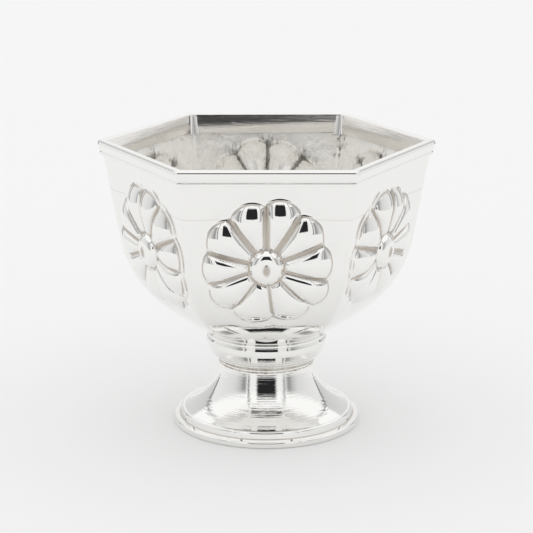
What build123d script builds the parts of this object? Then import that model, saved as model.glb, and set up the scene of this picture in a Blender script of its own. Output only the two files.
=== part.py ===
from build123d import *
from math import asin, cos, radians, sin, tan
import os

os.makedirs("parts", exist_ok=True)

# Offering bowl: a six-sided silver bowl with chased rosettes, on a turned stem and a flared foot.
# Millimetres, +Z up. The foot stands on Z = 0 and the stem's axis is the Z axis.
# One flat side faces the front, at this angle from the X axis.
sides = 6
half_side_angle = 180 / sides
front_angle = -90.0

# Foot: a flared hollow cone, open underneath, with a moulded ring soldered round its edge.
foot_diameter = 42.9
foot_height = 14.2
foot_wall = 1.1
foot_flare_radius = 14.0
ring_height = 3.3
ring_bead_width = 1.1
ring_bead_radius = 1.6
ring_flange_width = 1.45
ring_flange_height = 1.6
ring_edge_radius = 0.4

# Stem: a turned hollow knop between foot and bowl, with a bead of solder round the joint below it.
neck_diameter = 21.6
neck_land = 0.4
knop_height = 5.8
knop_diameter = 27.5
knop_seat_diameter = 27.0
knop_bulge_height = 3.2
knop_bulge_inset = 1.1
knop_bore = 19.2
solder_bead_height = 0.8
solder_bead_width = 0.35

# Bowl: six struck panels soldered at the corners, round a flat base disc.
# Each side is a steep wall and a sloping underside, joined by a wide curve.
bowl_height = 45.6
sheet = 0.9
lip_across_flats = 64.9
belly_across_flats = 55.1
belly_height = 12.2
belly_radius = 28.0
base_across_flats = 27.0
base_disc_diameter = 23.0
corner_radius = 2.5
round_base_margin = 0.3
round_base_angle = 58.0

# Rosette: ten domed petals round a domed boss with a raised dot, one rosette on every side.
rosette_drop = 21.8
rosette_across = 28.6
rosette_stretch = 1.07
petal_count = 10
petal_apex = 1.6
petal_apex_rise = 0.2
petal_tip_half_width = 4.6
petal_tip_rise = 2.0
boss_half_width = 3.9
boss_rise = 2.4
dot_radius = 1.0
dot_rise = 0.4

# Rim: six mitred cap strips folded over the sheet's edge, and a strip in each inside corner.
rim_cap_thickness = 0.9
rim_overhang = 0.6
rim_moulding_height = 3.4
rim_moulding_step = 0.35
rim_edge_radius = 0.4
lip_band_depth = 4.5
lip_band_thickness = 0.5
corner_strip_width = 2.6
corner_strip_thickness = 0.8

# Levels up the object.
knop_top = foot_height + knop_height
rim_top = knop_top + bowl_height
sheet_top = rim_top - rim_cap_thickness
band_bottom = rim_top - lip_band_depth
moulding_bottom = rim_top - rim_moulding_height
above_rim = rim_top + rim_moulding_height

# Outline of one side, from the edge of the flat base to the lip, in distance from the axis and height.
base_edge = (base_across_flats / 2, knop_top)
belly_point = (belly_across_flats / 2, knop_top + belly_height)
lip_point = (lip_across_flats / 2, rim_top)
wall_slope = (lip_point[0] - belly_point[0]) / (lip_point[1] - belly_point[1])
wall_stretch = (1 + wall_slope**2) ** 0.5


def wall_distance(height, inset=0.0):
    """Distance from the axis to the wall's outer face, or to a face that lies inset inside it."""
    return lip_point[0] + (height - rim_top) * wall_slope - inset * wall_stretch


def side_plane(angle):
    """Upright plane through the axis, with local x pointing out at this angle and local y up."""
    outward = (cos(radians(angle)), sin(radians(angle)), 0)
    across = (sin(radians(angle)), -cos(radians(angle)), 0)
    return Plane(origin=(0, 0, 0), x_dir=outward, z_dir=across)


def hexagonal_block(inset):
    """Solid of the bowl's outside, inset by this much. It runs on a little above the rim."""
    top_edge = (wall_distance(above_rim), above_rim)
    with BuildPart() as block:
        for turn in range(sides // 2):
            with BuildSketch(side_plane(front_angle + turn * 2 * half_side_angle)):
                with BuildLine():
                    FilletPolyline(base_edge, belly_point, top_edge, radius=belly_radius)
                    Polyline(top_edge, (0, above_rim), (0, knop_top), base_edge)
                make_face()
                mirror(about=Plane.YZ)
                offset(amount=-inset, kind=Kind.INTERSECTION)
            extrude(amount=lip_across_flats, both=True, mode=Mode.INTERSECT if turn else Mode.ADD)
        corners = block.edges().filter_by(lambda edge: abs((edge @ 1).Z - (edge @ 0).Z) > sheet)
        fillet(corners, radius=corner_radius - inset)
        # The lowest part of the underside is rounded off to a cone, to sit on the round stem.
        round_base = base_across_flats / 2 + round_base_margin
        round_top = round_base + (above_rim - knop_top) * tan(radians(round_base_angle))
        with BuildSketch(Plane.XZ):
            Polygon(
                (-round_base, knop_top),
                (round_base, knop_top),
                (round_top, above_rim),
                (-round_top, above_rim),
                align=None,
            )
            offset(amount=-inset, kind=Kind.INTERSECTION)
            split(bisect_by=Plane.YZ)
        revolve(axis=Axis.Z, mode=Mode.INTERSECT)
    return block.part


def dome_radius(half_width, rise):
    """Radius of the ball that stands out of a flat face by rise, over this half width."""
    return (half_width**2 + rise**2) / (2 * rise)


# Middle line of the front side, which carries the first rosette.
with BuildLine(side_plane(front_angle)) as facet_outline:
    FilletPolyline(base_edge, belly_point, lip_point, radius=belly_radius)
facet_wire = facet_outline.wire()
rosette_centre = facet_wire.length - rosette_drop
facing = Vector(cos(radians(front_angle)), sin(radians(front_angle)), 0)
sideways = Vector(-sin(radians(front_angle)), cos(radians(front_angle)), 0)


def under_facet(across, up, depth):
    """Point at this depth under the front side, from distances along its surface."""
    along = rosette_centre + up
    point = facet_wire.position_at(along, position_mode=PositionMode.LENGTH)
    climb = facet_wire.tangent_at(along, position_mode=PositionMode.LENGTH)
    outward = sideways.cross(climb)
    return point + sideways * across - outward * depth


def rosette(inset):
    """Domes of one rosette, inset by this much: drops and a ball sunk in the front side."""
    tip_radius = dome_radius(petal_tip_half_width, petal_tip_rise)
    boss_radius = dome_radius(boss_half_width, boss_rise)
    tip_centre = rosette_across / 2 - petal_tip_half_width
    with BuildPart() as domes:
        for petal in range(petal_count):
            angle = radians(petal * 360 / petal_count)
            across = cos(angle)
            up = sin(angle) * rosette_stretch
            apex = under_facet(petal_apex * across, petal_apex * up, -petal_apex_rise)
            tip = under_facet(tip_centre * across, tip_centre * up, tip_radius - petal_tip_rise)
            spine = tip - apex
            # A drop is a cone from the apex that runs smoothly into a ball at the tip.
            flare = asin(tip_radius / spine.length)
            start = inset / sin(flare)
            ball = tip_radius - inset
            shoulder = (spine.length - ball * sin(flare), ball * cos(flare))
            end = (spine.length + ball, 0)
            beside = facing.cross(spine)
            with BuildSketch(Plane(origin=apex, x_dir=spine, z_dir=beside)):
                with BuildLine():
                    Line((start, 0), shoulder)
                    TangentArc(shoulder, end, tangent=(cos(flare), sin(flare)))
                    Line(end, (start, 0))
                make_face()
            revolve(axis=Axis(apex, spine))
        with Locations(under_facet(0, 0, boss_radius - boss_rise)):
            Sphere(boss_radius - inset)
    return domes.part


# Side panel: the sheet follows the domes, so the rosette stands out outside and is hollow inside.
left_corner = side_plane(front_angle - half_side_angle)
right_corner = side_plane(front_angle + half_side_angle)

with BuildPart() as bowl_inside:
    add(hexagonal_block(sheet))
    add(rosette(sheet))

with BuildPart() as front_panel:
    add(hexagonal_block(0))
    add(rosette(0))
    with Locations(under_facet(0, 0, dot_radius - dot_rise - boss_rise)):
        Sphere(dot_radius)
    add(bowl_inside.part, mode=Mode.SUBTRACT)
    split(bisect_by=left_corner, keep=Keep.BOTTOM)
    split(bisect_by=right_corner, keep=Keep.TOP)
    split(bisect_by=Plane.XY.offset(sheet_top), keep=Keep.BOTTOM)
    with BuildSketch(Plane.XY.offset(knop_top)):
        Circle(base_disc_diameter / 2)
    extrude(amount=sheet, mode=Mode.SUBTRACT)

for number in range(sides):
    with BuildPart() as side_panel:
        with Locations(Location((0, 0, 0), (0, 0, number * 2 * half_side_angle))):
            add(front_panel.part)
    side_panel.part.label = f"side_panel_{number + 1}"
    export_step(side_panel.part, f"parts/{side_panel.part.label}.step")

# Base disc: closes the bottom of the bowl between the turned-in feet of the panels.
with BuildPart() as base_disc:
    with BuildSketch(Plane.XY.offset(knop_top)):
        Circle(base_disc_diameter / 2)
    extrude(amount=sheet)
base_disc.part.label = "base_disc"
export_step(base_disc.part, "parts/base_disc.step")

# Rim cap: a moulding outside, a flat over the edge and a band inside, mitred at the corners.
with BuildPart() as front_cap:
    with BuildSketch(side_plane(front_angle)):
        Polygon(
            (wall_distance(band_bottom, sheet), band_bottom),
            (wall_distance(sheet_top, sheet), sheet_top),
            (wall_distance(sheet_top, sheet + lip_band_thickness), sheet_top),
            (wall_distance(band_bottom, sheet + lip_band_thickness), band_bottom),
            align=None,
        )
    extrude(amount=lip_across_flats / 2, both=True)
    split(bisect_by=left_corner.offset(-corner_strip_width / 2), keep=Keep.BOTTOM)
    split(bisect_by=right_corner.offset(corner_strip_width / 2), keep=Keep.TOP)
    with BuildSketch(side_plane(front_angle)) as moulding:
        Polygon(
            (wall_distance(moulding_bottom), moulding_bottom),
            (wall_distance(moulding_bottom) + rim_moulding_step, moulding_bottom),
            (wall_distance(sheet_top) + rim_overhang, sheet_top),
            (wall_distance(sheet_top) + rim_overhang, rim_top),
            (wall_distance(sheet_top, sheet + lip_band_thickness), rim_top),
            (wall_distance(sheet_top, sheet + lip_band_thickness), sheet_top),
            (wall_distance(sheet_top), sheet_top),
            align=None,
        )
        fillet(moulding.vertices().group_by(Axis.Y)[-1], radius=rim_edge_radius)
    extrude(amount=lip_across_flats / 2, both=True)
    split(bisect_by=left_corner, keep=Keep.BOTTOM)
    split(bisect_by=right_corner, keep=Keep.TOP)

for number in range(sides):
    with BuildPart() as rim_cap:
        with Locations(Location((0, 0, 0), (0, 0, number * 2 * half_side_angle))):
            add(front_cap.part)
    rim_cap.part.label = f"rim_cap_{number + 1}"
    export_step(rim_cap.part, f"parts/{rim_cap.part.label}.step")

# Corner strips: six short strips soldered into the inside corners, between the ends of the bands.
with BuildPart() as lip_corner_strips:
    with BuildSketch(Plane.XY.offset(band_bottom)):
        with PolarLocations(lip_across_flats / 2, sides, start_angle=front_angle + half_side_angle):
            Rectangle(lip_across_flats / 2, corner_strip_width)
    extrude(amount=sheet_top - band_bottom)
    add(hexagonal_block(sheet), mode=Mode.INTERSECT)
    add(hexagonal_block(sheet + corner_strip_thickness), mode=Mode.SUBTRACT)
lip_corner_strips.part.label = "lip_corner_strips"
export_step(lip_corner_strips.part, "parts/lip_corner_strips.step")

# Knop: a turned bulge with a flat seat for the bowl, and a short neck where it meets the foot.
bulge_end = (knop_diameter / 2 - knop_bulge_inset, knop_top - knop_bulge_height)
with BuildPart() as stem_knop:
    with BuildSketch(Plane.XZ):
        with BuildLine():
            ThreePointArc(
                (knop_seat_diameter / 2, knop_top),
                (knop_diameter / 2, knop_top - knop_bulge_height / 3),
                bulge_end,
            )
            Line(bulge_end, (neck_diameter / 2, foot_height + neck_land))
            Polyline(
                (neck_diameter / 2, foot_height + neck_land),
                (neck_diameter / 2, foot_height),
                (knop_bore / 2, foot_height),
                (knop_bore / 2, knop_top),
                (knop_seat_diameter / 2, knop_top),
            )
        make_face()
    revolve(axis=Axis.Z)
stem_knop.part.label = "stem_knop"
export_step(stem_knop.part, "parts/stem_knop.step")

# Solder bead: a thin ring of solder round the joint of knop and foot.
with BuildPart() as solder_bead:
    with BuildSketch(Plane.XZ):
        Polygon(
            (neck_diameter / 2, foot_height - solder_bead_height / 2),
            (neck_diameter / 2 + solder_bead_width, foot_height),
            (neck_diameter / 2, foot_height + solder_bead_height / 2),
            align=None,
        )
    revolve(axis=Axis.Z)
solder_bead.part.label = "solder_bead"
export_step(solder_bead.part, "parts/solder_bead.step")

# Foot cone: spun sheet with a short upright land and a concave flare, hollow and open below.
ring_inner = foot_diameter / 2 - ring_flange_width - ring_bead_width
land_top = (neck_diameter / 2, foot_height)
land_bottom = (neck_diameter / 2, foot_height - neck_land)
ring_top = (ring_inner, ring_height)
with BuildPart() as foot_cone:
    with BuildSketch(Plane.XZ):
        with BuildLine():
            Line(land_top, land_bottom)
            flare = RadiusArc(land_bottom, ring_top, -foot_flare_radius)
            offset(amount=foot_wall, side=Side.RIGHT, kind=Kind.INTERSECTION)
        make_face()
    revolve(axis=Axis.Z)
foot_cone.part.label = "foot_cone"
export_step(foot_cone.part, "parts/foot_cone.step")

# Foot ring: a rounded bead over a flat flange, with the flare's edge soldered to its inner face.
flare_run = flare % 1
ring_seat = (ring_inner + flare_run.Y * foot_wall, ring_height - flare_run.X * foot_wall)
bead_end = (ring_inner + ring_bead_width, ring_flange_height)
with BuildPart() as foot_ring:
    with BuildSketch(Plane.XZ) as ring_section:
        with BuildLine():
            RadiusArc(ring_top, bead_end, ring_bead_radius)
            Polyline(
                bead_end,
                (foot_diameter / 2, ring_flange_height),
                (foot_diameter / 2, 0),
                (ring_seat[0], 0),
                ring_seat,
                ring_top,
            )
        make_face()
        flange_edge = ring_section.vertices().group_by(Axis.X)[-1].sort_by(Axis.Y)[-1]
        fillet(flange_edge, radius=ring_edge_radius)
    revolve(axis=Axis.Z)
foot_ring.part.label = "foot_ring"
export_step(foot_ring.part, "parts/foot_ring.step")
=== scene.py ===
from math import cos, pi, radians, sin, tan

import bpy
import numpy as np
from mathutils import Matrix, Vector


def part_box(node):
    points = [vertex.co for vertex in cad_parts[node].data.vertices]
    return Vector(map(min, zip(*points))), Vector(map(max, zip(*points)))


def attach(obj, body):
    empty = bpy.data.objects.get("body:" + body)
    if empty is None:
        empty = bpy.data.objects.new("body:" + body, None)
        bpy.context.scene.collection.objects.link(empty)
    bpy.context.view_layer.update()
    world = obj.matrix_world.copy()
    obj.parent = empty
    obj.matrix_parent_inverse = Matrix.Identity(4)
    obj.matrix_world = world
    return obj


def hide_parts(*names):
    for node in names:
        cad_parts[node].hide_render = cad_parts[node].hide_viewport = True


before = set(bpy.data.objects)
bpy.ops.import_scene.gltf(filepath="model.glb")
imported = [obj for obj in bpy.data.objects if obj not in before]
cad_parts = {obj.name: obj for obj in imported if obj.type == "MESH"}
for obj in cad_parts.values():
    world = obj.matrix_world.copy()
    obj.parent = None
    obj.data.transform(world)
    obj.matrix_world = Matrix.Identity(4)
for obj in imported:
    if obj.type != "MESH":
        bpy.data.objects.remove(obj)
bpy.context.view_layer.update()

# Side panels: six struck sheets of silver, each with a rosette of ten petals chased into it.
# They bend in under the belly and are soldered to each other at the corners.
# The outside is polished to a mirror, and the inside is left pickled, a frosted warm white.
to_mm = 1000.0  # sizes here are in millimetres, and levels are heights above the table
side_count = 6
side_turn = 2 * pi / side_count
half_side = side_turn / 2
disc_low, disc_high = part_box("base_disc")
cap_low, cap_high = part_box("rim_cap_1")
base_level = disc_low.z * to_mm
disc_radius = disc_high.x * to_mm
sheet_thickness = (disc_high.z - disc_low.z) * to_mm
sheet_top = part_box("side_panel_1")[1].z * to_mm
rim_out = -cap_low.y * to_mm
rim_overhang = 0.6
lip_out = rim_out - rim_overhang
step_foot = 12.2
step_head = 13.7
step_rise = 1.6
step_bend = 0.8
belly_out = 27.55
belly_rise = 12.2
belly_level = base_level + belly_rise
belly_radius = 28.0
corner_radius = 2.5
round_base_height = 4.6
rounding_blend = 0.45
outline_points = 400
panel_rows = 236
panel_columns = 186
lower_rows_share = 0.16
upper_rows_share = 0.08

rosette_drop = 20.9
rosette_stretch = 1.07
rosette_reach = 16.5
petal_count = 10
petal_reaches = (14.3, 13.3, 14.3, 14.3, 14.3, 13.8)
petal_spread = 0.35
tip_round = 4.6
pillow_slope = 0.9
pillow_spread = 2.65
edge_slope = 0.35
edge_spread = 0.3
inner_fall = 0.2
inner_fall_start = 9.0
groove_width = 0.75
groove_widening = 0.4
groove_depth = 0.7
groove_end = 13.1
moat_radius = 4.05
ground_rise = 0.5
boss_half_width = 3.7
boss_rise = 1.5
boss_power = 5
dot_across = 0.9
dot_up = 1.2
dot_rise = 0.3
dot_dullness = 0.9
mask_edge = 0.15
line_width = 0.2
notch_width = 2.5
notch_radius = 13.6
notch_length = 1.6
notch_overlap = 0.2
outside_chasing = {"fillet": 0.7, "shoulder": 0.27, "line_dullness": 0.8, "notch_dullness": 0.0}
# Inside, the marked grooves, ridges, chased line and notches are darkened with painted reflection of the
# camera opening.
inside_chasing = {"fillet": 0.6, "shoulder": 0.55, "line_dullness": 0.1, "notch_dullness": 0.85}
inside_share = 0.9
scribed_level = 54.7
scribed_width = 0.12
scribed_from = 9.2
scribed_dullness = 0.6
struck_grooves = np.radians([-126, -83, -43, -13, 22, 57, 90, 128, 166, 197])
groove_unevenness = radians(1.5)
chaser_hand = np.random.default_rng(7)


def rounded_path(corners, run_points=12, arc_points=14):
    """Points, headings and distances along straight runs between corners of out, level and rounding.

    The heading holds along a run and turns evenly along an arc. Each step goes the chord of its arc,
    in the mean of the headings at its two ends, and the points are the running sum of the steps.
    """
    corners = np.asarray(corners, float)
    radii = corners[1:-1, 2]
    legs = np.diff(corners[:, :2], axis=0)
    headings = np.unwrap(np.arctan2(legs[:, 1], legs[:, 0]))
    turns = np.diff(headings)
    cuts = np.concatenate([[0], radii * np.tan(np.abs(turns) / 2), [0]])
    runs = np.hypot(legs[:, 0], legs[:, 1]) - cuts[:-1] - cuts[1:]
    arcs = np.append(radii * np.abs(turns), 0.0)
    stretches = np.stack([runs, arcs], axis=1).ravel()[:-1]
    breaks = np.concatenate([[0], np.cumsum(stretches)])
    counts = np.where(np.arange(len(stretches)) % 2 == 0, run_points, arc_points)
    samples = [np.linspace(a, b, n, endpoint=False) for a, b, n in zip(breaks[:-1], breaks[1:], counts)]
    distance = np.append(np.concatenate(samples), breaks[-1])
    heading = np.interp(distance, breaks, np.repeat(headings, 2))
    steps = np.diff(distance) * np.sinc(np.diff(heading) / (2 * pi))
    middle = (heading[:-1] + heading[1:]) / 2
    moves = np.stack([steps * np.cos(middle), steps * np.sin(middle)], axis=1)
    points = corners[0, :2] + np.concatenate([np.zeros((1, 2)), np.cumsum(moves, axis=0)])
    return points, heading, distance


def rounded_side(out, radius, share):
    """Across and out along one side of a hexagon with rounded corners, and the turn of its face.

    Share runs from -1 to 1, from corner to corner. The way goes along the flat, and then round an arc
    of the corner's radius until the face has turned by half of the angle between two sides.
    """
    flat = (out - radius) * tan(half_side)
    walk = share * (flat + radius * half_side)
    turn = np.clip(np.abs(walk) - flat, 0, None) / radius
    across = np.sign(walk) * (np.minimum(np.abs(walk), flat) + radius * np.sin(turn))
    return across, out - radius * (1 - np.cos(turn)), np.sign(walk) * turn


def rosette(across, climb, grooves, reaches, fillet, shoulder, line_dullness, notch_dullness):
    """Height, and the marks for tarnish and painted shade, of a chased rosette, over distances across and
    up from its middle.

    A petal is a pillow over a strip with a round tip, and depth is the way in from its outline. The
    pillow rises as slope * spread * (1 - exp(-depth / spread)), once wide and once steep, and sinks
    evenly towards the middle. Outside it, where depth is below 0, the sheet dips by
    slope * depth * exp(depth / fillet), the chased line. Grooves along the rays between the petals,
    and the ground of the boss, are cut into it with exponential shoulders. The boss stands up as
    1 - (radius / half width) ** power, and its dot as a flat-topped bell. The second result marks the
    grooves, the ground and the dot, and as far as asked the chased line and the notches between the
    tips: on the outside it is tarnish, and on the inside it places painted shade.
    """
    upward = climb / rosette_stretch
    radius = np.hypot(across, upward)
    ray = np.arctan2(upward, across)
    angle = np.mod(ray - grooves[0], 2 * pi)
    starts = grooves - grooves[0]
    ends = np.append(starts[1:], 2 * pi)
    petal = np.searchsorted(starts, angle, side="right") - 1
    off_ray = radius * np.minimum(np.sin(angle - starts[petal]), np.sin(ends[petal] - angle))
    swing = angle - ((starts + ends) / 2)[petal]
    past_tip = np.clip(radius * np.cos(swing) - (reaches[petal] - tip_round), 0, None)
    depth = tip_round - np.hypot(past_tip, radius * np.sin(swing))

    inside = np.clip(depth, 0, None)
    outside = np.clip(depth, None, 0)
    pillow = pillow_slope * pillow_spread * (1 - np.exp(-inside / pillow_spread))
    pillow = pillow + edge_slope * edge_spread * (1 - np.exp(-inside / edge_spread))
    sunk = inner_fall * np.logaddexp(0, inner_fall_start - np.maximum(radius, moat_radius))
    pillow = np.clip(pillow - sunk, 0, None)
    chased_line = (pillow_slope + edge_slope) * outside * np.exp(outside / fillet)

    groove_half = (groove_width + groove_widening * np.sin(ray)) / 2
    off_groove = np.clip(off_ray - groove_half, 0, None)
    off_ground = np.abs(radius - moat_radius)
    cut = np.maximum(np.exp(-off_groove / shoulder), np.exp(-off_ground / shoulder))
    cut_depth = groove_depth * (1 - np.exp(-pillow / groove_depth))
    petals = np.where(radius < moat_radius, ground_rise, pillow - cut_depth * cut)
    boss = boss_rise * np.clip(1 - (radius / boss_half_width) ** boss_power, 0, None)
    dot = np.exp(-(((across / dot_across) ** 2 + (upward / dot_up) ** 2) ** 2))
    height = petals + chased_line + boss + dot_rise * dot

    channel = 1 / (1 + np.exp((off_ray - groove_half) / mask_edge))
    channel = channel / (1 + np.exp((radius - groove_end) / mask_edge)) * (radius > moat_radius)
    moat = (radius > boss_half_width) * (radius <= moat_radius)
    line = np.exp(-((depth / line_width) ** 2)) * (radius > groove_end)
    notch = np.exp(-((off_ray / notch_width) ** 2) - ((radius - notch_radius) / notch_length) ** 2)
    notch = notch * (depth < notch_overlap)
    dullness = channel + moat + dot_dullness * dot + line_dullness * line + notch_dullness * notch
    return height, np.clip(dullness, 0, 1)


def turned_to_side(points, number):
    """Points of the side that faces -Y, turned about the upright axis to the side of this number."""
    angle = number * side_turn
    turn = np.array([[cos(angle), -sin(angle), 0], [sin(angle), cos(angle), 0], [0, 0, 1]])
    return points @ turn.T


def grid_faces(rows, columns, first=0, close_rows=False, close_columns=False):
    """Corner numbers of the four-sided faces of a grid, closed round on itself where asked."""
    row = np.arange(rows if close_rows else rows - 1)[:, None]
    column = np.arange(columns if close_columns else columns - 1)[None, :]
    next_row = (row + 1) % rows
    next_column = (column + 1) % columns
    corners = [(row, column), (row, next_column), (next_row, next_column), (next_row, column)]
    return first + np.stack([(r * columns + c).ravel() for r, c in corners], axis=1)


def border_faces(rows, columns):
    """Faces along the four edges that join a grid to a second grid of the same size behind it."""
    number = np.arange(rows * columns).reshape(rows, columns)
    border = np.concatenate([number[0, :-1], number[:-1, -1], number[-1, :0:-1], number[:0:-1, 0]])
    ahead = np.roll(border, -1)
    behind = rows * columns
    return np.stack([ahead, border, border + behind, ahead + behind], axis=1)


def add_piece(name, points, faces, materials, material_numbers=None, sharp_angle=40):
    """Smooth mesh object from points in millimetres and faces, riding on the bowl's one body."""
    mesh = bpy.data.meshes.new(name)
    mesh.from_pydata((points / to_mm).tolist(), [], faces if isinstance(faces, list) else faces.tolist())
    for material in materials:
        mesh.materials.append(material)
    if material_numbers is not None:
        mesh.polygons.foreach_set("material_index", material_numbers.astype(np.int32))
    mesh.shade_smooth()
    mesh.set_sharp_from_angle(angle=radians(sharp_angle))
    piece = bpy.data.objects.new(name, mesh)
    bpy.context.scene.collection.objects.link(piece)
    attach(piece, "root")
    return piece


def add_values(piece, name, values):
    """Stores one number for each point of a piece, for its material to read."""
    attribute = piece.data.attributes.new(name, "FLOAT", "POINT")
    attribute.data.foreach_set("value", np.asarray(values, np.float32))


def make_group(name, inputs, outputs):
    """Empty node group with these inputs at their usual values and these outputs, and its two end nodes."""
    group = bpy.data.node_groups.new(name, "ShaderNodeTree")
    for socket_name, value in inputs.items():
        socket = group.interface.new_socket(socket_name, in_out="INPUT", socket_type="NodeSocketFloat")
        socket.default_value = value
    for socket_name in outputs:
        group.interface.new_socket(socket_name, in_out="OUTPUT", socket_type="NodeSocketFloat")
    return group, group.nodes.new("NodeGroupInput"), group.nodes.new("NodeGroupOutput")


def add_math(tree, operation, first, second):
    """Output of a Math node in a tree. Each operand is a number or another node's output."""
    node = tree.nodes.new("ShaderNodeMath")
    node.operation = operation
    for socket, operand in zip(node.inputs, (first, second)):
        if isinstance(operand, (int, float)):
            socket.default_value = operand
        else:
            tree.links.new(operand, socket)
    return node.outputs[0]


def add_range(tree, value, low, high, to_low=0.0, to_high=1.0):
    """Output of a smooth step in a tree, from to_low at low to to_high at high."""
    node = tree.nodes.new("ShaderNodeMapRange")
    node.interpolation_type = "SMOOTHSTEP"
    for socket, number in zip(node.inputs[1:5], (low, high, to_low, to_high)):
        socket.default_value = number
    tree.links.new(value, node.inputs[0])
    return node.outputs[0]


def add_noise(tree, scale, detail, stretch=(1, 1, 1)):
    """Output of a noise in the piece's own coordinates, each of them first multiplied by its stretch."""
    place = tree.nodes.new("ShaderNodeTexCoord")
    mapping = tree.nodes.new("ShaderNodeMapping")
    mapping.inputs["Scale"].default_value = stretch
    noise = tree.nodes.new("ShaderNodeTexNoise")
    noise.inputs["Scale"].default_value = scale
    noise.inputs["Detail"].default_value = detail
    tree.links.new(place.outputs["Object"], mapping.inputs["Vector"])
    tree.links.new(mapping.outputs["Vector"], noise.inputs["Vector"])
    return noise.outputs[0]


def add_mix(tree, factor, first, second):
    """Output of a colour mix in a tree. Each colour is four numbers or another node's output."""
    node = tree.nodes.new("ShaderNodeMix")
    node.data_type = "RGBA"
    tree.links.new(factor, node.inputs["Factor"])
    for socket, colour in zip((node.inputs[6], node.inputs[7]), (first, second)):
        if isinstance(colour, tuple):
            socket.default_value = colour
        else:
            tree.links.new(colour, socket)
    return node.outputs[2]


def add_bump(tree, surface, height, strength, distance):
    """Bump on a surface from a height, at this strength and over this distance in millimetres."""
    bump = tree.nodes.new("ShaderNodeBump")
    bump.inputs["Strength"].default_value = strength
    bump.inputs["Distance"].default_value = distance / to_mm
    tree.links.new(height, bump.inputs["Height"])
    tree.links.new(bump.outputs["Normal"], surface.inputs["Normal"])


def start_silver(name, group):
    """New material with its tree, its surface, a node of this group, and the piece's own tarnish and
    painted shade values.
    """
    material = bpy.data.materials.new(name)
    material.use_nodes = True
    tree = material.node_tree
    marks = tree.nodes.new("ShaderNodeGroup")
    marks.node_tree = group
    dullness = tree.nodes.new("ShaderNodeAttribute")
    dullness.attribute_name = "dullness"
    return material, tree, tree.nodes["Principled BSDF"], marks, dullness.outputs["Fac"]


# Marks on polished silver: fine scratches from wiping, the slow waviness of hand-worked sheet,
# and the rings that spinning leaves, where a piece has them.
bright_silver = (0.925, 0.92, 0.9, 1)
# Tarnish colour, also used as painted contact shadow on the foot ring's lowest edge.
tarnished_silver = (0.6, 0.55, 0.49, 1)
tarnish_roughness = 0.45
wave_height = 0.1
scratch_height = 0.4
handling, handling_in, handling_out = make_group(
    "handling_marks", {"Gloss": 0.05, "Scratches": 0.03, "Rings": 0.0}, ["Roughness", "Height"]
)
scratch_noise = add_noise(handling, scale=900, detail=4, stretch=(0.25, 0.25, 3.0))
smear_noise = add_noise(handling, scale=140, detail=3)
ring_noise = add_noise(handling, scale=2200, detail=3, stretch=(0, 0, 1))
scratch_mask = add_range(handling, scratch_noise, low=0.55, high=0.75)
smear_mask = add_range(handling, smear_noise, low=0.35, high=0.75)
marked = add_math(handling, "MULTIPLY", scratch_mask, smear_mask)
marked = add_math(handling, "MULTIPLY", marked, handling_in.outputs["Scratches"])
marked = add_math(handling, "ADD", marked, handling_in.outputs["Gloss"])
spun = add_math(handling, "MULTIPLY", ring_noise, handling_in.outputs["Rings"])
wiped = add_math(handling, "MULTIPLY", scratch_noise, scratch_height)
wiped = add_math(handling, "ADD", smear_noise, wiped)
handling.links.new(marked, handling_out.inputs["Roughness"])
handling.links.new(add_math(handling, "ADD", wiped, spun), handling_out.inputs["Height"])


def polished_silver(name, colour, gloss, scratches, waviness, rings=0.0):
    """Mirror silver with handling marks. Where the piece's tarnish and painted shade value is high it is
    matte and darkened: tarnish, and painted contact shadow on the foot ring's lowest edge.
    """
    material, tree, surface, marks, dullness = start_silver(name, handling)
    surface.inputs["Metallic"].default_value = 1.0
    marks.inputs["Gloss"].default_value = gloss
    marks.inputs["Scratches"].default_value = scratches
    marks.inputs["Rings"].default_value = rings
    # Tarnish in hollows, and painted contact shadow at the foot ring's lowest edge, darken the colour here.
    tarnish = add_range(tree, dullness, low=0.1, high=0.9)
    tree.links.new(add_mix(tree, tarnish, colour, tarnished_silver), surface.inputs["Base Color"])
    rough = add_math(tree, "MULTIPLY", tarnish, tarnish_roughness)
    rough = add_math(tree, "ADD", marks.outputs["Roughness"], rough)
    tree.links.new(rough, surface.inputs["Roughness"])
    add_bump(tree, surface, marks.outputs["Height"], waviness, wave_height)
    return material


# Frost on pickled silver: fine grain and the shallow dents of the hammer that worked it from inside.
# Dark specks in streaky patches and between the petals, and dark ridges, are painted reflection of the
# camera opening.
pickled_pale = (1.0, 0.99, 0.96, 1)
pickled_dim = (0.97, 0.945, 0.9, 1)
# Dark colour of the painted reflection of the camera opening on the inside walls.
speck_colour = (0.13, 0.115, 0.1, 1)
pickled_metal = 0.35
pickled_specular = 0.8
pickled_dents = 0.4
dent_height = 0.5
grain_height = 0.3
notch_specks = 1.3
frost, frost_in, frost_out = make_group(
    "pickled_frost", {"Dullness": 0.0}, ["Tone", "Specks", "Roughness", "Height"]
)
dents = add_noise(frost, scale=420, detail=2)
grain = add_noise(frost, scale=2600, detail=3)
brush_noise = add_noise(frost, scale=1500, detail=3, stretch=(1, 1, 0.35))
patch_noise = add_noise(frost, scale=135, detail=2)
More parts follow.
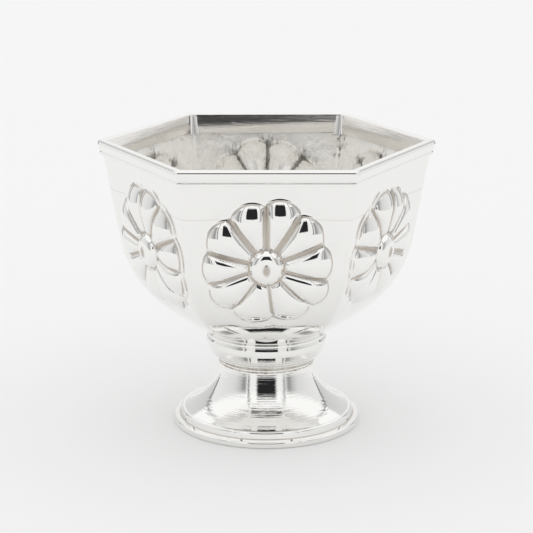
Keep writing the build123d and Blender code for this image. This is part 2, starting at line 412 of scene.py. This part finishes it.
# Painted reflection: streaky dark specks in patches and in the notches, and dark ridges, stand in for the
# camera opening mirrored inside.
brush_lines = add_range(frost, brush_noise, low=0.5, high=0.6)
unbrushed = add_range(frost, patch_noise, low=0.56, high=0.72)
in_notches = add_math(frost, "MULTIPLY", frost_in.outputs["Dullness"], notch_specks)
specks = add_math(frost, "MULTIPLY", brush_lines, add_math(frost, "MAXIMUM", unbrushed, in_notches))
ridge_shade = add_range(frost, frost_in.outputs["Dullness"], low=0.4, high=1.0, to_low=0.0, to_high=0.85)
frosted = add_range(frost, dents, low=0.3, high=0.7, to_low=0.3, to_high=0.1)
hammered = add_math(frost, "ADD", dents, add_math(frost, "MULTIPLY", grain, grain_height))
frost.links.new(add_range(frost, dents, low=0.32, high=0.55), frost_out.inputs["Tone"])
frost.links.new(add_math(frost, "MAXIMUM", specks, ridge_shade), frost_out.inputs["Specks"])
frost.links.new(frosted, frost_out.inputs["Roughness"])
frost.links.new(hammered, frost_out.inputs["Height"])


def pickled_silver(name, pale, dim, dent_strength):
    """Frosted silver that has been pickled white and not polished, with hammer dents of this strength.

    Its colour goes from dim to pale with the frost's tone, and then to dark where the painted reflection of
    the camera opening lies.
    """
    material, tree, surface, marks, dullness = start_silver(name, frost)
    surface.inputs["Metallic"].default_value = pickled_metal
    surface.inputs["Specular IOR Level"].default_value = pickled_specular
    tree.links.new(dullness, marks.inputs["Dullness"])
    tone = add_mix(tree, marks.outputs["Tone"], dim, pale)
    # Painted reflection: darkens towards the dark colour where the camera opening would be mirrored.
    tone = add_mix(tree, marks.outputs["Specks"], tone, speck_colour)
    tree.links.new(tone, surface.inputs["Base Color"])
    tree.links.new(marks.outputs["Roughness"], surface.inputs["Roughness"])
    add_bump(tree, surface, marks.outputs["Height"], dent_strength, dent_height)
    return material


panel_outside = polished_silver("panel_polished", bright_silver, gloss=0.05, scratches=0.08, waviness=0.1)
panel_inside = pickled_silver("panel_pickled", pickled_pale, pickled_dim, pickled_dents)

outline, outline_heading, outline_distance = rounded_path(
    [
        (disc_radius, base_level, 0),
        (step_foot, base_level, step_bend),
        (step_head, base_level + step_rise, step_bend),
        (belly_out, belly_level, belly_radius),
        (lip_out, sheet_top, 0),
    ],
    run_points=outline_points,
    arc_points=outline_points,
)
rosette_way = outline_distance[-1] - rosette_drop
way = np.interp(
    np.linspace(0, 1, panel_rows),
    [0, lower_rows_share, 1 - upper_rows_share, 1],
    [0, rosette_way - rosette_reach, rosette_way + rosette_reach, outline_distance[-1]],
)
out = np.interp(way, outline_distance, outline[:, 0])[:, None]
up = np.interp(way, outline_distance, outline[:, 1])[:, None]
lean = np.interp(way, outline_distance, outline_heading)[:, None]
roundness = 1 / (1 + np.exp((up - base_level - round_base_height) / rounding_blend))
rounding = corner_radius + (out - corner_radius) * roundness
share = np.linspace(-1, 1, panel_columns)[None, :]
across, away, face_turn = rounded_side(out, rounding, share)
level = np.broadcast_to(up, across.shape)
climb = np.broadcast_to((way - rosette_way)[:, None], across.shape)
bare = np.stack([across, -away, level], axis=2)
outward_across = np.sin(face_turn) * np.sin(lean)
outward_away = np.cos(face_turn) * np.sin(lean)
outward_up = np.broadcast_to(-np.cos(lean), across.shape)
outward = np.stack([outward_across, -outward_away, outward_up], axis=2)
scribed_line = np.exp(-(((level - scribed_level) / scribed_width) ** 2))
scribed_line = scribed_dullness * scribed_line * (np.abs(across) > scribed_from)

panel_faces = np.concatenate(
    [
        grid_faces(panel_rows, panel_columns),
        grid_faces(panel_rows, panel_columns, first=panel_rows * panel_columns)[:, ::-1],
        border_faces(panel_rows, panel_columns),
    ]
)
outside_count = (panel_rows - 1) * (panel_columns - 1)
panel_materials = np.zeros(len(panel_faces))
panel_materials[outside_count : 2 * outside_count] = 1
for number in range(side_count):
    uneven = chaser_hand.normal(0, groove_unevenness, petal_count)
    grooves = struck_grooves + uneven * (number > 0)
    reaches = petal_reaches[number] + chaser_hand.normal(0, petal_spread, petal_count)
    outside_relief, outside_dullness = rosette(across, climb, grooves, reaches, **outside_chasing)
    inside_relief, inside_dullness = rosette(across, climb, grooves, reaches, **inside_chasing)
    outside_skin = bare + outward * outside_relief[:, :, None]
    inside_skin = bare + outward * (inside_share * inside_relief - sheet_thickness)[:, :, None]
    skins = np.concatenate([outside_skin.reshape(-1, 3), inside_skin.reshape(-1, 3)])
    panel = add_piece(
        f"panel_{number + 1}",
        turned_to_side(skins, number),
        panel_faces,
        [panel_outside, panel_inside],
        panel_materials,
    )
    outside_dullness = np.maximum(outside_dullness, scribed_line)
    # Outside these values are tarnish; inside they place painted reflection of the dark camera opening.
    add_values(panel, "dullness", np.concatenate([outside_dullness.ravel(), inside_dullness.ravel()]))
    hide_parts(f"side_panel_{number + 1}")


# Base disc: a flat round of sheet soldered in between the turned-in feet of the panels.
# It is pickled like the rest of the inside, and its underside shows in the hollow of the foot.
ring_columns = 240
disc_hole = 0.02
disc_hole_edge = 0.01
disc_edge = 0.1
disc_top = base_level + sheet_thickness
disc_middle = base_level + sheet_thickness / 2


def turned(name, profile, material, sharp_angle=40):
    """Piece of revolution: a closed loop of radius and height, carried round the upright axis."""
    angle = np.linspace(0, 2 * pi, ring_columns, endpoint=False)[None, :]
    radius = profile[:, 0][:, None]
    height = np.broadcast_to(profile[:, 1][:, None], (len(profile), ring_columns))
    points = np.stack([radius * np.cos(angle), radius * np.sin(angle), height], axis=2).reshape(-1, 3)
    faces = grid_faces(len(profile), ring_columns, close_rows=True, close_columns=True)
    return add_piece(name, points, faces, [material], sharp_angle=sharp_angle)


disc_loop, _, _ = rounded_path(
    [
        (disc_hole, disc_middle, 0),
        (disc_hole, base_level, disc_hole_edge),
        (disc_radius, base_level, disc_edge),
        (disc_radius, disc_top, disc_edge),
        (disc_hole, disc_top, disc_hole_edge),
        (disc_hole, disc_middle, 0),
    ]
)
base_pickle = pickled_silver("base_pickled", pickled_pale, pickled_dim, pickled_dents)
base = turned("base_round", disc_loop[:-1], base_pickle)
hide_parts("base_disc")


# Rim caps: six strips folded over the edge of the sheet, mitred and soldered at the corners.
# Outside is a flat moulding with a fine bead along its foot, on top a rounded flat, inside a band.
# The band is bent a little and twisted a little, as strips folded by hand are.
rim_top = cap_high.z * to_mm
band_bottom = cap_low.z * to_mm
wall_lean = (lip_out - belly_out) / (sheet_top - belly_level)
rim_bead_bottom = 62.2
rim_bead_top = 62.85
rim_bead_proud = 0.4
rim_bead_foot_round = 0.15
rim_bead_head_round = 0.2
rim_quirk_level = 63.05
rim_quirk_proud = 0.26
rim_quirk_round = 0.05
face_bottom = 63.25
face_proud = 0.38
face_round = 0.1
face_batter = 0.05
shoulder_round = 0.5
rim_top_round = 0.6
lip_round = 0.4
band_thickness = 0.5
band_inset = sheet_thickness + band_thickness
band_bend_rise = 1.8
band_bend = band_bottom + band_bend_rise
band_proud = 0.28
band_curve = 10.0
band_twist = 0.3
band_foot_round = 0.15
band_back_round = 0.05
cap_seat = 0.3
cap_overlap = 0.1
cap_back_inset = sheet_thickness - cap_overlap
cap_back_top = sheet_top - cap_overlap
cap_back_round = 0.1
rim_corner = 1.0
least_corner = 0.25
rim_columns = 61
fine_polish = {"gloss": 0.05, "scratches": 0.05, "waviness": 0.04}
band_silver = (0.97, 0.95, 0.92, 1)


def wall(height, inset=0.0):
    """Distance from the axis to the wall's outside at this height, less an inset square to it."""
    return lip_out + (height - sheet_top) * wall_lean - inset * (1 + wall_lean**2) ** 0.5


cap_section, _, _ = rounded_path(
    [
        (wall(rim_bead_bottom, cap_seat), rim_bead_bottom, 0),
        (wall(rim_bead_bottom) + rim_bead_proud, rim_bead_bottom, rim_bead_foot_round),
        (wall(rim_bead_top) + rim_bead_proud, rim_bead_top, rim_bead_head_round),
        (wall(rim_quirk_level) + rim_quirk_proud, rim_quirk_level, rim_quirk_round),
        (wall(face_bottom) + face_proud, face_bottom, face_round),
        (rim_out, sheet_top, shoulder_round),
        (rim_out - face_batter, rim_top, rim_top_round),
        (wall(sheet_top, band_inset), rim_top, lip_round),
        (wall(band_bend, band_inset) - band_proud, band_bend, band_curve),
        (wall(band_bottom, band_inset), band_bottom, band_foot_round),
        (wall(band_bottom, cap_back_inset), band_bottom, band_back_round),
        (wall(sheet_top, cap_back_inset), cap_back_top, cap_back_round),
        (wall(sheet_top, cap_seat), cap_back_top, cap_back_round),
        (wall(rim_bead_bottom, cap_seat), rim_bead_bottom, 0),
    ]
)
cap_section = cap_section[:-1]
cap_rows = len(cap_section)
cap_share = np.linspace(-1, 1, rim_columns)[None, :]
cap_out = cap_section[:, 0][:, None]
cap_round = np.maximum(least_corner, rim_corner - (rim_out - cap_out))
cap_across, cap_away, _ = rounded_side(cap_out, cap_round, cap_share)
cap_up = np.broadcast_to(cap_section[:, 1][:, None], cap_across.shape)
band_face = cap_out < wall(cap_up, sheet_thickness + band_thickness / 2)
band_depth = np.clip((rim_top - cap_up) / (rim_top - band_bottom), 0, 1)
cap_away = cap_away - band_twist * cap_share * band_depth * band_face
cap_points = np.stack([cap_across, -cap_away, cap_up], axis=2).reshape(-1, 3)
cap_faces = grid_faces(cap_rows, rim_columns, close_rows=True).tolist()
cap_faces.append((np.arange(cap_rows)[::-1] * rim_columns).tolist())
cap_faces.append((np.arange(cap_rows) * rim_columns + rim_columns - 1).tolist())
next_section = np.roll(cap_section, -1, axis=0)
edge_out, edge_up = np.abs(cap_section - next_section).T
middle_out = (cap_section[:, 0] + next_section[:, 0]) / 2
on_band = (middle_out < lip_out - sheet_thickness - band_thickness / 2) & (edge_up > edge_out)
cap_materials = np.append(np.repeat(on_band, rim_columns - 1), [False, False])
cap_polish = polished_silver("rim_polished", bright_silver, **fine_polish)
band_satin = polished_silver("band_satin", band_silver, gloss=0.2, scratches=0.2, waviness=0.8)
for number in range(side_count):
    cap = add_piece(
        f"rim_strip_{number + 1}",
        turned_to_side(cap_points, number),
        cap_faces,
        [cap_polish, band_satin],
        cap_materials,
    )
    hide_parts(f"rim_cap_{number + 1}")


# Corner strips: six short bars soldered upright into the inside corners of the lip.
# Each is a little wider at its foot, and its face is slightly rounded.
strip_top_width = 1.7
strip_foot_width = 2.3
strip_proud = 0.35
strip_bulge = 0.12
strip_seat = 0.1
strip_overlap = 0.2
strip_drop = 0.35
strip_bottom = band_bottom - strip_overlap
strip_top = rim_top - strip_drop
strip_rows = 24
strip_columns = 16
strip_silver = (0.88, 0.875, 0.86, 1)
corner_slope = tan(pi / 3)
strip_up = np.linspace(strip_bottom, strip_top, strip_rows)[:, None]
strip_share = np.linspace(-1, 1, strip_columns)[None, :]
strip_half = np.interp(strip_up, [strip_bottom, strip_top], [strip_foot_width / 2, strip_top_width / 2])
strip_across = strip_half * strip_share
strip_level = np.broadcast_to(strip_up, strip_across.shape)
corner_way = wall(strip_up, band_inset) / cos(half_side)
strip_face = corner_way - strip_half / corner_slope - strip_proud - strip_bulge * (1 - strip_share**2)
strip_back = corner_way + strip_seat - np.abs(strip_across) / corner_slope
strip_front_points = np.stack([strip_face, strip_across, strip_level], axis=2).reshape(-1, 3)
strip_back_points = np.stack([strip_back, strip_across, strip_level], axis=2).reshape(-1, 3)
strip_points = np.concatenate([strip_front_points, strip_back_points])
strip_faces = np.concatenate(
    [
        grid_faces(strip_rows, strip_columns)[:, ::-1],
        grid_faces(strip_rows, strip_columns, first=strip_rows * strip_columns),
        border_faces(strip_rows, strip_columns)[:, ::-1],
    ]
)
strips = add_piece(
    "corner_strips",
    np.concatenate([turned_to_side(strip_points, number) for number in range(side_count)]),
    np.concatenate([strip_faces + number * len(strip_points) for number in range(side_count)]),
    [polished_silver("strip_polished", strip_silver, gloss=0.12, scratches=0.1, waviness=0.2)],
)
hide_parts("lip_corner_strips")


# Knop: a turned hollow ring of silver that carries the bowl, bulging under the bowl's base.
# A quirk parts its upper ring from the bulge, and two fine beads run just above the joint with the foot.
knop_low, knop_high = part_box("stem_knop")
knop_bulge = knop_high.x * to_mm
knop_bottom = knop_low.z * to_mm
knop_gap = 0.02
knop_top = base_level - knop_gap
knop_bore = 9.6
knop_bore_start = knop_bottom + 2.0
knop_edge = 0.1
neck_radius = 10.8
neck_top = knop_bottom + 0.5
neck_round = 0.4
cup_out = 12.75
cup_level = 17.0
cup_round = 1.5
knop_batter = 0.05
bulge_level = 18.7
bulge_round = 1.0
bulge_top = 20.1
knop_quirk_level = 20.55
knop_quirk_depth = 0.4
knop_quirk_round = 0.08
upper_ring_bottom = 20.95
upper_ring_top = 21.65
upper_ring_round = 0.2
upper_ring_top_round = 0.15
knop_bead_levels = (16.4, 15.6)
knop_bead_rise = 0.16
knop_bead_spread = 0.17
knop_outside = neck_radius + 0.2
knop_groove_levels = (16.8, 16.0, 15.2)
knop_groove_dullness = 0.5
knop_loop, _, _ = rounded_path(
    [
        (knop_bore, knop_bore_start, 0),
        (knop_bore, knop_bottom, knop_edge),
        (neck_radius, knop_bottom, knop_edge),
        (neck_radius, neck_top, neck_round),
        (cup_out, cup_level, cup_round),
        (knop_bulge - knop_batter, bulge_level, bulge_round),
        (knop_bulge, bulge_top, upper_ring_round),
        (knop_bulge - knop_quirk_depth, knop_quirk_level, knop_quirk_round),
        (knop_bulge, upper_ring_bottom, upper_ring_round),
        (knop_bulge - knop_batter, upper_ring_top, upper_ring_top_round),
        (step_foot, knop_top, knop_edge),
        (knop_bore, knop_top, knop_edge),
        (knop_bore, knop_bore_start, 0),
    ],
    run_points=20,
    arc_points=10,
)
knop_loop = knop_loop[:-1]
on_outside = knop_loop[:, 0] > knop_outside
for knop_bead_level in knop_bead_levels:
    knop_bead_shape = np.exp(-(((knop_loop[:, 1] - knop_bead_level) / knop_bead_spread) ** 2))
    knop_loop[:, 0] += on_outside * knop_bead_rise * knop_bead_shape
knop_dullness = np.zeros(len(knop_loop))
for groove_level in knop_groove_levels:
    knop_groove_shape = np.exp(-(((knop_loop[:, 1] - groove_level) / knop_bead_spread) ** 2))
    knop_dullness += on_outside * knop_groove_dullness * knop_groove_shape
knop_polish = polished_silver("knop_polished", bright_silver, **fine_polish)
knop = turned("knop", knop_loop, knop_polish, sharp_angle=50)
add_values(knop, "dullness", np.repeat(knop_dullness, ring_columns))
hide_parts("stem_knop")


# Solder bead: a thin uneven ring of silver solder where the knop was joined to the foot.
# It was never filed clean, so it is lumpy and has tarnished.
solder_low, solder_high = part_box("solder_bead")
solder_middle = (solder_low.z + solder_high.z) / 2 * to_mm
solder_outer = solder_high.x * to_mm
solder_half = (solder_high.z - solder_low.z) / 2 * to_mm
solder_section_count = 14
solder_columns = 480
solder_waves = np.arange(3, 90)
solder_swell_mean = 0.42
solder_swell_spread = 0.12
solder_swell_least = 0.2
solder_swell_most = 0.8
solder_wander = 0.04
solder_wander_lag = 37
solder_pale = (0.7, 0.66, 0.58, 1)
solder_dim = (0.4, 0.34, 0.27, 1)
solder_dents = 0.8
solder_turn = np.linspace(0, 2 * pi, solder_columns, endpoint=False)[None, :]
solder_phase = chaser_hand.uniform(0, 2 * pi, solder_waves.size)
solder_size = chaser_hand.normal(0, 1, solder_waves.size) / np.sqrt(solder_waves.size)
solder_ripples = solder_size[:, None] * np.cos(solder_waves[:, None] * solder_turn + solder_phase[:, None])
solder_lumps = solder_ripples.sum(axis=0)[None, :]
solder_swell = solder_swell_mean + solder_swell_spread * solder_lumps
solder_swell = np.clip(solder_swell, solder_swell_least, solder_swell_most)
solder_side = np.linspace(0, 2 * pi, solder_section_count, endpoint=False)[:, None]
solder_reach = (solder_outer - neck_radius) * solder_swell * np.cos(solder_side) + neck_radius
solder_climb = solder_middle + solder_half * solder_swell * np.sin(solder_side)
solder_climb = solder_climb + solder_wander * np.roll(solder_lumps, solder_wander_lag, axis=1)
solder_across = solder_reach * np.cos(solder_turn)
solder_away = solder_reach * np.sin(solder_turn)
solder_faces = grid_faces(solder_section_count, solder_columns, close_rows=True, close_columns=True)
bead = add_piece(
    "solder_ring",
    np.stack([solder_across, solder_away, solder_climb], axis=2).reshape(-1, 3),
    solder_faces[:, ::-1],
    [pickled_silver("solder_tarnished", solder_pale, solder_dim, solder_dents)],
)
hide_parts("solder_bead")


# Foot: spun silver sheet, a short upright land and a wide concave flare, hollow underneath.
# Spinning left fine rings all round it, under a mirror polish.
foot_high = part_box("foot_cone")[1]
foot_top = foot_high.z * to_mm
flare_edge = foot_high.x * to_mm
flare_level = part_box("foot_ring")[1].z * to_mm
foot_land = 0.4
foot_wall = 1.1
flare_radius = 14.0
flare_points = 90


def single_arc(first, last, radius, count):
    """Points and headings along an arc of this radius, turning to the left from first to last.

    The heading turns evenly. The way out is the radius times the change of the heading's sine, and
    the way up is the radius times the fall of its cosine.
    """
    chord = np.subtract(last, first)
    middle_heading = np.arctan2(chord[1], chord[0])
    half_turn = np.arcsin(np.hypot(*chord) / (2 * radius))
    heading = middle_heading + np.linspace(-half_turn, half_turn, count)
    way_out = radius * (np.sin(heading) - np.sin(heading[0]))
    way_up = -radius * (np.cos(heading) - np.cos(heading[0]))
    return np.stack([first[0] + way_out, first[1] + way_up], axis=1), heading


flare_start = (neck_radius, foot_top - foot_land)
flare, flare_heading = single_arc(flare_start, (flare_edge, flare_level), flare_radius, flare_points)
flare = np.concatenate([[(neck_radius, foot_top)], flare])
flare_heading = np.concatenate([[-pi / 2], flare_heading])
flare_inward = np.stack([np.sin(flare_heading), -np.cos(flare_heading)], axis=1)
flare_loop = np.concatenate([flare, (flare + foot_wall * flare_inward)[::-1]])[::-1]
foot_polish = polished_silver(
    "foot_polished", bright_silver, gloss=0.045, scratches=0.08, waviness=0.35, rings=2.0
)
foot = turned("foot", flare_loop, foot_polish)
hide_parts("foot_cone")


# Foot ring: a moulded ring with a round bead over a flat flange, soldered on round the flare.
# The bowl stands on its flat underside. The quirk over the flange has tarnished, and the lowest edge is
# darkened with painted contact shadow where it meets the table.
ring_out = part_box("foot_ring")[1].x * to_mm
ring_seat = 18.45
ring_seat_start = 1.0
ring_seat_top = 2.3
ring_seat_edge = 0.1
ring_foot_round = 0.3
flange_level = 1.6
flange_fall = 0.2
flange_round = 0.4
ring_bead_foot = 19.95
ring_bead_lean = 0.25
ring_bead_round = 0.55
ring_quirk_round = 0.12
ring_inner_round = 0.05
quirk_tarnish = 0.7
quirk_tarnish_out = 0.3
quirk_tarnish_up = 0.2
# Painted contact shadow along the ring's lowest edge, where it stands on the table.
edge_tarnish = 0.5
edge_tarnish_up = 0.25
ring_loop, _, _ = rounded_path(
    [
        (ring_seat, ring_seat_start, 0),
        (ring_seat, 0, ring_seat_edge),
        (ring_out, 0, ring_foot_round),
        (ring_out, flange_level - flange_fall, flange_round),
        (ring_bead_foot, flange_level, ring_quirk_round),
        (ring_bead_foot - ring_bead_lean, flare_level, ring_bead_round),
        (flare_edge, flare_level, ring_inner_round),
        (ring_seat, ring_seat_top, ring_inner_round),
        (ring_seat, ring_seat_start, 0),
    ]
)
ring_loop = ring_loop[:-1]
from_quirk_out = (ring_loop[:, 0] - ring_bead_foot) / quirk_tarnish_out
from_quirk_up = (ring_loop[:, 1] - flange_level) / quirk_tarnish_up
# Tarnish in the quirk, and painted contact shadow along the lowest edge.
ring_dullness = np.maximum(
    quirk_tarnish * np.exp(-(from_quirk_out**2) - from_quirk_up**2),
    edge_tarnish * np.exp(-((ring_loop[:, 1] / edge_tarnish_up) ** 2)),
)
ring = turned("foot_moulding", ring_loop, polished_silver("ring_polished", bright_silver, **fine_polish))
add_values(ring, "dullness", np.repeat(ring_dullness, ring_columns))
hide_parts("foot_ring")


# Stage: a plain pale table under the bowl, which keeps its shadow.
# In mirror reflections it ends at the front of the studio tent.
floor_half = 3.0
floor_corners = [(-1, -1), (1, -1), (1, 1), (-1, 1)]
tent_reach = 0.33
tent_reach_blend = 0.01
table_white = (0.92, 0.92, 0.92, 1)
table_roughness = 0.9
floor_mesh = bpy.data.meshes.new("table_top")
floor_mesh.from_pydata([(floor_half * x, floor_half * y, 0) for x, y in floor_corners], [], [(0, 1, 2, 3)])
floor = bpy.data.objects.new("table_top", floor_mesh)
bpy.context.scene.collection.objects.link(floor)
floor_paint = bpy.data.materials.new("table_white")
floor_paint.use_nodes = True
floor_tree = floor_paint.node_tree
floor_surface = floor_tree.nodes["Principled BSDF"]
floor_surface.inputs["Base Color"].default_value = table_white
floor_surface.inputs["Roughness"].default_value = table_roughness
floor_surface.inputs["Specular IOR Level"].default_value = 0.0
floor_place = floor_tree.nodes.new("ShaderNodeTexCoord")
floor_length = floor_tree.nodes.new("ShaderNodeVectorMath")
floor_length.operation = "LENGTH"
floor_tree.links.new(floor_place.outputs["Object"], floor_length.inputs[0])
floor_path = floor_tree.nodes.new("ShaderNodeLightPath")
far_off = add_range(floor_tree, floor_length.outputs["Value"], tent_reach, tent_reach + tent_reach_blend)
unseen = add_math(floor_tree, "MULTIPLY", far_off, floor_path.outputs["Is Glossy Ray"])
floor_clear = floor_tree.nodes.new("ShaderNodeBsdfTransparent")
floor_mix = floor_tree.nodes.new("ShaderNodeMixShader")
floor_tree.links.new(unseen, floor_mix.inputs["Fac"])
floor_tree.links.new(floor_surface.outputs["BSDF"], floor_mix.inputs[1])
floor_tree.links.new(floor_clear.outputs["BSDF"], floor_mix.inputs[2])
floor_tree.links.new(floor_mix.outputs["Shader"], floor_tree.nodes["Material Output"].inputs["Surface"])
floor_mesh.materials.append(floor_paint)


# Studio tent: white all round, with a dark opening for the camera in front and thin seams at the sides.
# Its lower walls are greyer than its lit upper half. It shows only in reflections, and all other light
# is plain white. Places in it are degrees round from the front, and degrees above the table.
half_round = 180.0
opening_half_width = 22.5
opening_low = 2.5
opening_high = 40.5
opening_softness = 0.7
opening_dark = (0.02, 0.02, 0.022, 1)
bar_low = 43.2
bar_high = 45
bar_softness = 0.5
bar_grey = (0.3, 0.3, 0.3, 1)
lit_from = 31
lit_softness = 2
lit_white = (1.02, 1.02, 1.02, 1)
seams = (42, 131.5)
seam_half_width = 1.6
seam_softness = 0.5
seam_bottom = -20
seam_top = 52
seam_end_softness = 1
seam_grey = (0.12, 0.12, 0.12, 1)
wall_greys = [
    (0, 0.92),
    (46, 0.9),
    (49, 0.36),
    (55, 0.32),
    (62, 0.55),
    (75, 0.72),
    (100, 0.8),
    (129, 0.86),
    (133, 0.62),
    (160, 0.72),
    (178, 0.95),
]
tent = bpy.data.worlds.new("studio_tent")
bpy.context.scene.world = tent
tent.use_nodes = True
tent_tree = tent.node_tree
tent_place = tent_tree.nodes.new("ShaderNodeTexCoord")
tent_split = tent_tree.nodes.new("ShaderNodeSeparateXYZ")
tent_tree.links.new(tent_place.outputs["Generated"], tent_split.inputs[0])
ahead = add_math(tent_tree, "MULTIPLY", tent_split.outputs["Y"], -1.0)
round_angle = add_math(tent_tree, "ARCTAN2", tent_split.outputs["X"], ahead)
round_angle = add_math(tent_tree, "ABSOLUTE", round_angle, 0.0)
round_degrees = add_math(tent_tree, "DEGREES", round_angle, 0.0)
height_angle = add_math(tent_tree, "ARCSINE", tent_split.outputs["Z"], 0.0)
height_degrees = add_math(tent_tree, "DEGREES", height_angle, 0.0)


def tent_mask(value, low, high, softness):
    """Mask in the tent that is 1 between low and high, with soft edges."""
    over = add_range(tent_tree, value, low - softness, low + softness)
    under = add_range(tent_tree, value, high - softness, high + softness, to_low=1.0, to_high=0.0)
    return add_math(tent_tree, "MULTIPLY", over, under)


tent_ramp = tent_tree.nodes.new("ShaderNodeValToRGB")
tent_tree.links.new(add_math(tent_tree, "DIVIDE", round_degrees, half_round), tent_ramp.inputs["Fac"])
tent_stops = tent_ramp.color_ramp.elements
tent_stops.remove(tent_stops[-1])
for degrees, grey in wall_greys:
    stop = tent_stops[0] if degrees == 0 else tent_stops.new(degrees / half_round)
    stop.position = degrees / half_round
    stop.color = (grey, grey, grey, 1)
lit = add_range(tent_tree, height_degrees, lit_from - lit_softness, lit_from + lit_softness)
tent_colour = add_mix(tent_tree, lit, tent_ramp.outputs["Color"], lit_white)
for seam in seams:
    seam_line = tent_mask(round_degrees, seam - seam_half_width, seam + seam_half_width, seam_softness)
    seam_length = tent_mask(height_degrees, seam_bottom, seam_top, seam_end_softness)
    seam_line = add_math(tent_tree, "MULTIPLY", seam_line, seam_length)
    tent_colour = add_mix(tent_tree, seam_line, tent_colour, seam_grey)
in_width = add_range(
    tent_tree,
    round_degrees,
    low=opening_half_width - opening_softness,
    high=opening_half_width + opening_softness,
    to_low=1.0,
    to_high=0.0,
)
bar = add_math(tent_tree, "MULTIPLY", in_width, tent_mask(height_degrees, bar_low, bar_high, bar_softness))
tent_colour = add_mix(tent_tree, bar, tent_colour, bar_grey)
opening = tent_mask(height_degrees, opening_low, opening_high, opening_softness)
opening = add_math(tent_tree, "MULTIPLY", in_width, opening)
tent_colour = add_mix(tent_tree, opening, tent_colour, opening_dark)
tent_light = tent_tree.nodes["Background"]
tent_tree.links.new(tent_colour, tent_light.inputs["Color"])
plain_light = tent_tree.nodes.new("ShaderNodeBackground")
plain_light.inputs["Color"].default_value = (1, 1, 1, 1)
tent_path = tent_tree.nodes.new("ShaderNodeLightPath")
tent_mix = tent_tree.nodes.new("ShaderNodeMixShader")
tent_tree.links.new(tent_path.outputs["Is Glossy Ray"], tent_mix.inputs["Fac"])
tent_tree.links.new(plain_light.outputs["Background"], tent_mix.inputs[1])
tent_tree.links.new(tent_light.outputs["Background"], tent_mix.inputs[2])
tent_tree.links.new(tent_mix.outputs["Shader"], tent_tree.nodes["World Output"].inputs["Surface"])


# Camera: the photograph's viewpoint, nearly half a metre in front of the bowl and a little above its rim.
# The lens is long, so the bowl's upright lines hardly draw together.
camera_place = (0, -0.43, 0.1541)
camera_pitch = 15.335
camera_data = bpy.data.cameras.new("camera")
camera_data.sensor_width = 36.0
camera_data.lens = 132.2
camera = bpy.data.objects.new("camera", camera_data)
camera.location = camera_place
camera.rotation_euler = (radians(90 - camera_pitch), 0, 0)
bpy.context.scene.collection.objects.link(camera)
bpy.context.scene.camera = camera
bpy.context.scene.view_settings.view_transform = "Standard"
